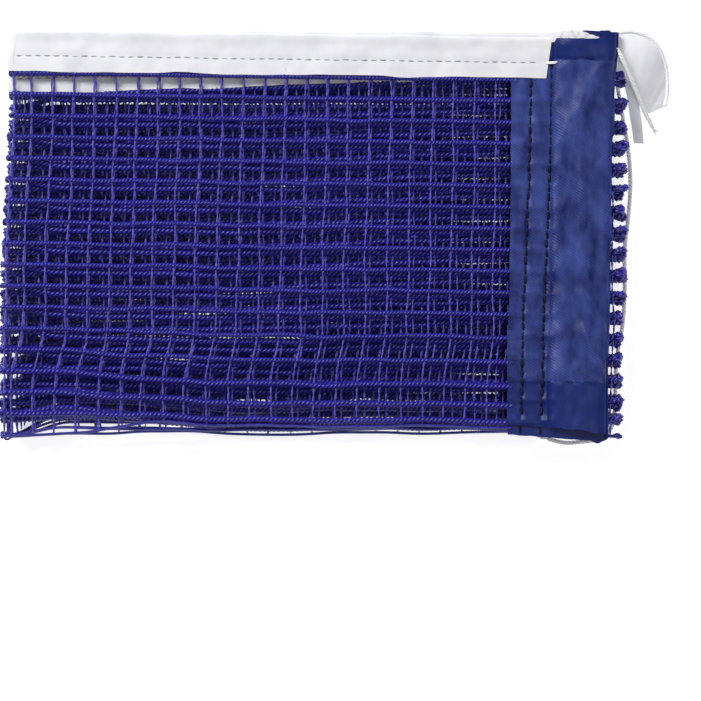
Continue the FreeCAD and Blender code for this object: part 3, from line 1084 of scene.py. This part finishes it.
def hem_stitches(layer, end, name, v):
    shape = Shape()
    low, high = -pocket_width + 2.5 * mm, -1.5 * mm
    for x in np.arange(low, high - stitch_length, stitch_period):
        ends = np.array([x, x + stitch_length])
        points = layer.place(ends, v, sleeve_front(layer, ends, v + 0 * ends))
        stitch(shape, *points, np.array([0, 0, 1.0]), stitch_radius * 0.5, layer.up)
    piece = shape.build(f"{name}_hem_{end}_stitches", navy_thread)
    return fasten(piece, layer.body, f"{name}_hem_thread_{end}")


def make_tack(layer, end):
    """The knotted end of the tape's seam, over the sleeve's flange."""
    shape = Shape()
    for side in (-0.25, 0.0, 0.3):
        ends = -tape_end + np.array([-2.4, 1.9]) * mm + side * mm
        z = np.array([layer.mid + tape_leaf, sleeve_front(layer, ends[1], seam_line)])
        points = layer.place(ends, seam_line + side * mm, z + 0.25 * mm)
        stitch(shape, *points, np.array([0, 0, 1.0]), stitch_radius, layer.up)
    piece = shape.build(f"tape_tack_{end}_thread", white_thread)
    return fasten(piece, layer.body, f"tape_tack_{end}")


def make_gather(layer, end):
    """The crumpled end of the tape, where it shows in the sleeve's upper mouth."""
    share = np.linspace(0, 1, 60)[:, None]
    depth = np.linspace(0, 1, 9)[None, :]
    top = smooth_through(np.linspace(0, 1, 6), np.array([77.0, 78.8, 79.3, 78.8, 77.6, 76.4]) * mm,
                         share)
    x = -tape_end - 0.4 * mm + gather_length * share + 0 * depth
    crumple = Wave(900 + layer.number, 5 * mm)(x + depth * 2 * mm)
    fine = Wave(901 + layer.number, 3 * mm)(x - depth * 3 * mm)
    v = gather_root + (top - gather_root) * depth + fine * 0.15 * mm * depth
    z = 2.5 * mm - 0.9 * mm * depth + (crumple * 0.45 + fine * 0.12) * mm
    shape = Shape()
    shape.grid(layer.place(x, v, z))
    piece = thicken(shape.build(f"head_tape_gather_{end}", white_canvas), canvas)
    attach(piece, layer.body)
    return piece


# ---------------------------------------------------------------- loop of slack tape

# Its two long edges, from the fold out to the tip and back under itself
loop_outer_edge = [
    (0.1156, 0.0760, 0.0196), (0.1215, 0.0766, 0.0194), (0.1278, 0.0746, 0.0186),
    (0.1328, 0.0694, 0.0155), (0.1354, 0.0626, 0.0099), (0.1360, 0.0556, 0.0060),
    (0.1350, 0.0496, 0.0036), (0.1322, 0.0492, 0.0020), (0.1296, 0.0580, 0.0065),
    (0.1265, 0.0660, 0.0115), (0.1215, 0.0725, 0.0156), (0.1156, 0.0755, 0.0169),
]
loop_inner_edge = [
    (0.1156, 0.0616, 0.0190), (0.1186, 0.0604, 0.0164), (0.1214, 0.0566, 0.0130),
    (0.1236, 0.0530, 0.0098), (0.1258, 0.0494, 0.0066), (0.1278, 0.0469, 0.0044),
    (0.1302, 0.0468, 0.0030), (0.1280, 0.0482, 0.0014), (0.1240, 0.0520, 0.0046),
    (0.1210, 0.0560, 0.0090), (0.1182, 0.0600, 0.0138), (0.1156, 0.0618, 0.0169),
]
loose_end_left = [
    (0.1176, 0.0608, 0.0150), (0.1203, 0.0532, 0.0092), (0.1222, 0.0440, 0.0042),
    (0.1236, 0.0354, 0.0012),
]
loose_end_right = [
    (0.1214, 0.0600, 0.0142), (0.1246, 0.0520, 0.0080), (0.1264, 0.0436, 0.0030),
    (0.1274, 0.0352, 0.0010),
]


def smooth_through(knots, values, share):
    """Values between the knots, on a curve without corners."""
    values = np.asarray(values)
    slopes = np.gradient(values, knots)
    index = np.clip(np.searchsorted(knots, share) - 1, 0, len(knots) - 2)
    span = knots[index + 1] - knots[index]
    t = (share - knots[index]) / span
    start = values[index] * (2 * t ** 3 - 3 * t ** 2 + 1) + slopes[index] * span * (
        t ** 3 - 2 * t ** 2 + t)
    end = values[index + 1] * (3 * t ** 2 - 2 * t ** 3) + slopes[index + 1] * span * (
        t ** 3 - t ** 2)
    return start + end


def smooth_edge(points, count):
    """A smooth curve through given points."""
    points = np.array(points)
    knots = np.linspace(0, 1, len(points))
    share = np.linspace(0, 1, count)
    return np.stack([smooth_through(knots, points[:, axis], share) for axis in range(3)], axis=1)


def between(inner, outer, across):
    """Points of a sheet between its two edges, at these shares of the way across."""
    return inner[:, None] + (outer - inner)[:, None] * across[:, None]


def make_loop():
    """The slack tape: a band that leaves the fold, droops, and comes back under itself."""
    count = 110
    inner, outer = smooth_edge(loop_inner_edge, count), smooth_edge(loop_outer_edge, count)
    across = np.linspace(0, 1, 21)
    points = between(inner, outer, across)
    along = np.linspace(0, 1, count)[:, None]
    swell = np.sin(math.pi * across) * np.sin(2 * math.pi * along) * 0.9 * mm
    ripple = Wave(800, 19 * mm)(along * 0.08 + across * 0.006) * 0.25 * mm
    ripple = ripple * np.sin(math.pi * along)
    seam = -0.15 * mm * bell(across - 0.38, 0.05)
    points[..., 2] = np.maximum(points[..., 2] + swell + ripple + seam, 0.8 * mm)
    shape = Shape()
    shape.grid(points[::-1])
    left, right = smooth_edge(loose_end_left, 40), smooth_edge(loose_end_right, 40)
    strip = between(left, right, np.linspace(0, 1, 9))
    strip[..., 2] += Wave(801, 11 * mm)(strip[..., 1]) * 0.25 * mm
    shape.grid(strip[::-1])
    # The loop's canvas is painted lighter than the tape's, as light falling on it.
    piece = thicken(shape.build("head_tape_loop_canvas", painted_lit_canvas), 2 * canvas)
    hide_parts("head_tape_loop")
    return piece


def make_loop_cord():
    """The head cord shows as a twisted ridge along the loop's upper edge."""
    line = even(smooth_edge(loop_outer_edge, 160)[:90], 0.4 * mm)
    shape = Shape()
    twist(shape, line, np.array([0.3, 0.5, 1.0]), 3, 0.4 * mm * closing(len(line)), 0.42 * mm,
          tail_pitch, 6)
    piece = shape.build("head_tape_loop_cord", white_cord)
    return piece


def hold_loop(piece):
    """The slack tape moves with the third layer, with a mesh of its own."""
    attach(piece, layers[3].body)
    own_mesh(piece)


# ---------------------------------------------------------------- free ends of the cord

def cord_line_points(route, name):
    """Points along a smooth curve whose control points are the route's."""
    data = bpy.data.curves.new(name, "CURVE")
    data.dimensions = "3D"
    data.resolution_u = 24
    spline = data.splines.new("NURBS")
    spline.points.add(len(route) - 1)
    for point, place in zip(spline.points, route):
        point.co = (*place, 1)
    spline.order_u = 3
    spline.use_endpoint_u = True
    curve = bpy.data.objects.new(name, data)
    bpy.context.scene.collection.objects.link(curve)
    bpy.context.view_layer.update()
    graph = bpy.context.evaluated_depsgraph_get()
    mesh = bpy.data.meshes.new_from_object(curve.evaluated_get(graph))
    points = np.array([vertex.co for vertex in mesh.vertices])
    bpy.data.objects.remove(curve)
    return even(points, 0.35 * mm)


def make_fray(line, strand):
    """Loose fibres at a cord's cut tip."""
    tip = line[-1]
    ahead = unit(line[-1] - line[-6])
    chance = np.random.default_rng(12)
    shape = Shape()
    share = np.linspace(0, 1, 9)[:, None]
    for _ in range(26):
        spread = chance.uniform(-1, 1, 3) * (1.3, 1.3, 0.25) * mm
        reach = ahead * chance.uniform(1.5, 4.0) * mm
        fibre = tip + spread * 0.15 + reach * share + spread * share ** 2
        fibre[:, 2] = np.maximum(fibre[:, 2], 0.2 * mm)
        tube(shape, fibre, strand * 0.3 * closing(len(share)), np.array([0, 0, 1.0]), 4)
    return shape


def make_tail(route, end, layer):
    """Three strands round the route's smooth curve, frayed at the tip."""
    line = cord_line_points(route, f"tail_route_{end}")
    strand = tail_diameter / 2 / (1 + 2 / math.sqrt(3))
    spread = tail_diameter / 2 - strand
    shape = Shape()
    twist(shape, line, np.array([0, 0, 1.0]), 3, strand * closing(len(line)), spread,
          tail_pitch, 7)
    piece = shape.build(f"cord_tail_{end}_strands", white_cord)
    fray = make_fray(line, strand).build(f"cord_tail_{end}_fray", white_cord)
    for part in (piece, fray):
        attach(part, layer.body)
    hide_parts(f"cord_tail_{end}")
    return piece


def make_head_cord(layer):
    """The cord inside the tape."""
    left = tape_left(layer, cord_line)
    right = -tape_end if layer.sleeved else tape_right(layer, cord_line)
    x = np.linspace(left, right, int((right - left) / (0.8 * mm)))
    shape = Shape()
    line = layer.place(x, cord_line + 0 * x, layer.mid + 0 * x)
    twist(shape, line, layer.up, 3, head_cord_strand, head_cord_strand, tail_pitch, 5)
    piece = shape.build(f"head_cord_{layer.number}_strands", white_cord)
    return fasten(piece, layer.body, f"head_cord_{layer.number}")


# ---------------------------------------------------------------- the whole net

make_tail(tail_a_route, "a", layers[1])
make_tail(tail_b_route, "b", layers[last])
for layer in layers.values():
    make_netting(layer)
    make_tape(layer)
    tape_stitches(layer)
    make_head_cord(layer)
for number in hinges:
    fold = Fold(number)
    make_net_fold(fold)
    if number != 2:
        make_tape_fold(fold)
for end, layer in (("a", layers[1]), ("b", layers[last])):
    make_sleeve(layer, end)
    sleeve_stitches(layer, end, "inner", inner_row, tape_edge + 1.5 * mm)
    sleeve_stitches(layer, end, "outer", outer_row, top_hem_line)
    hem_stitches(layer, end, "top", top_hem_line)
    hem_stitches(layer, end, "bottom", bottom_hem_line)
    make_tack(layer, end)
make_gather(layers[1], "a")
hold_loop(make_loop())
hold_loop(make_loop_cord())

bpy.context.scene.view_settings.view_transform = "Standard"
